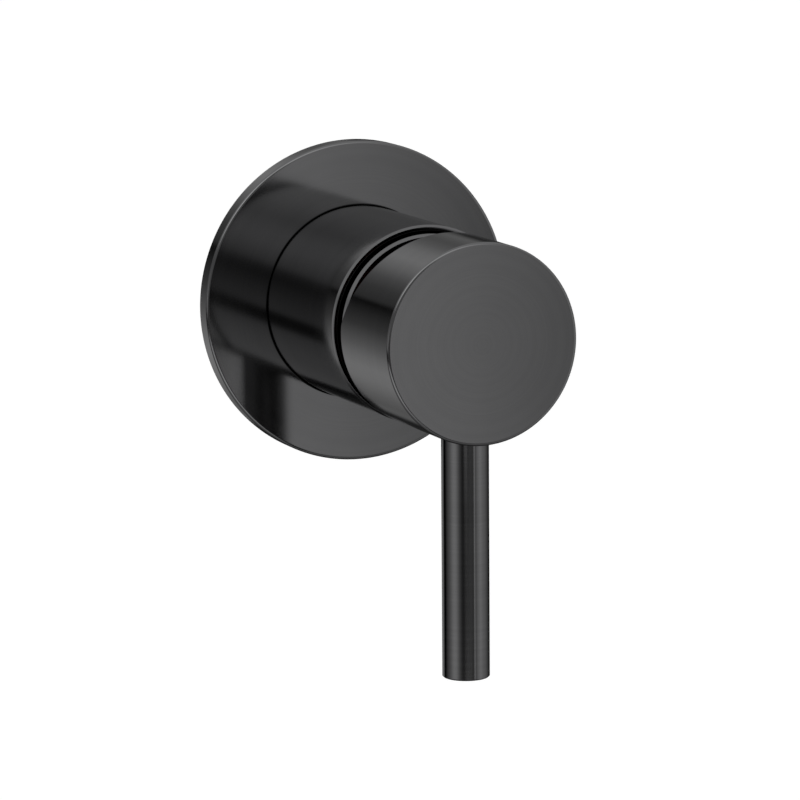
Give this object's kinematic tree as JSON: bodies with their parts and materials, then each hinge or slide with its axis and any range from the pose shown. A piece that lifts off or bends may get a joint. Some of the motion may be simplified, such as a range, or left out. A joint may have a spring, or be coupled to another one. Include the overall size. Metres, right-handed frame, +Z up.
{
  "type": "shower mixer",
  "caption": "In-wall single-lever shower mixer: round wall flange, straight sleeve and round head with a straight pin lever; brass body with ports and ceramic cartridge behind.",
  "frame": {"origin": "on the finished wall surface, where the mixer's turning axis passes through it", "axes": "-Y points out of the wall into the room along the turning axis, +Z is up, +X is to the right for a person who faces the wall"},
  "size_m": [0.08, 0.111, 0.1211],
  "materials": {
    "gunmetal": "satin gunmetal plating with a fine brushed grain",
    "cast_brass": "sand-cast with machined faces",
    "turned_brass": "turned",
    "steel": "turned stainless steel",
    "black_rubber": "smooth moulded rubber",
    "foam": "closed-cell foam",
    "white_plastic": "moulded",
    "grey_plastic": "moulded",
    "red_plastic": "moulded",
    "blue_plastic": "moulded",
    "low_friction": "smooth low-friction ring",
    "alumina": "lapped white ceramic",
    "fibre": "pressed fibre washer"
  },
  "bodies": {
    "body": {"mixer_body": "cast_brass", "wall_flange": "gunmetal", "flange_gasket": "foam", "flange_o_ring": "black_rubber", "sleeve": "gunmetal", "sleeve_o_ring": "black_rubber", "dome_ring": "gunmetal", "cartridge_nut": "turned_brass", "cartridge_housing": "grey_plastic", "cartridge_base": "white_plastic", "base_seals": "black_rubber", "disc_seals": "black_rubber", "fixed_disc": "alumina", "blanking_plug": "turned_brass", "plug_washer": "fibre"},
    "turret": {"turret": "white_plastic", "pivot_pin": "steel", "turret_seal": "black_rubber", "thrust_ring": "low_friction", "limit_ring": "red_plastic"},
    "slider": {"moving_disc": "alumina", "disc_carrier": "blue_plastic"},
    "lever": {"spindle": "turned_brass", "socket_insert": "grey_plastic", "handle_head": "gunmetal", "lever_pin": "gunmetal", "grub_screw": "steel"}
  },
  "joints": [
    {"name": "temperature_turn", "type": "hinge", "parent": "body", "child": "turret", "pos_m": [0, -0.044, 0], "axis": [0, -1, 0], "range_deg": [-50, 50]},
    {"name": "lever_lift", "type": "hinge", "parent": "turret", "child": "lever", "pos_m": [0, -0.044, 0], "axis": [-1, 0, 0], "range_deg": [0, 25]},
    {"name": "disc_slide", "type": "slide", "parent": "turret", "child": "slider", "axis": [0, 0, -1], "range_m": [0, 0.00527]}
  ],
  "couplings": [
    {"joint": "disc_slide", "follows": "lever_lift", "m_per_rad": 0.011623}
  ]
}
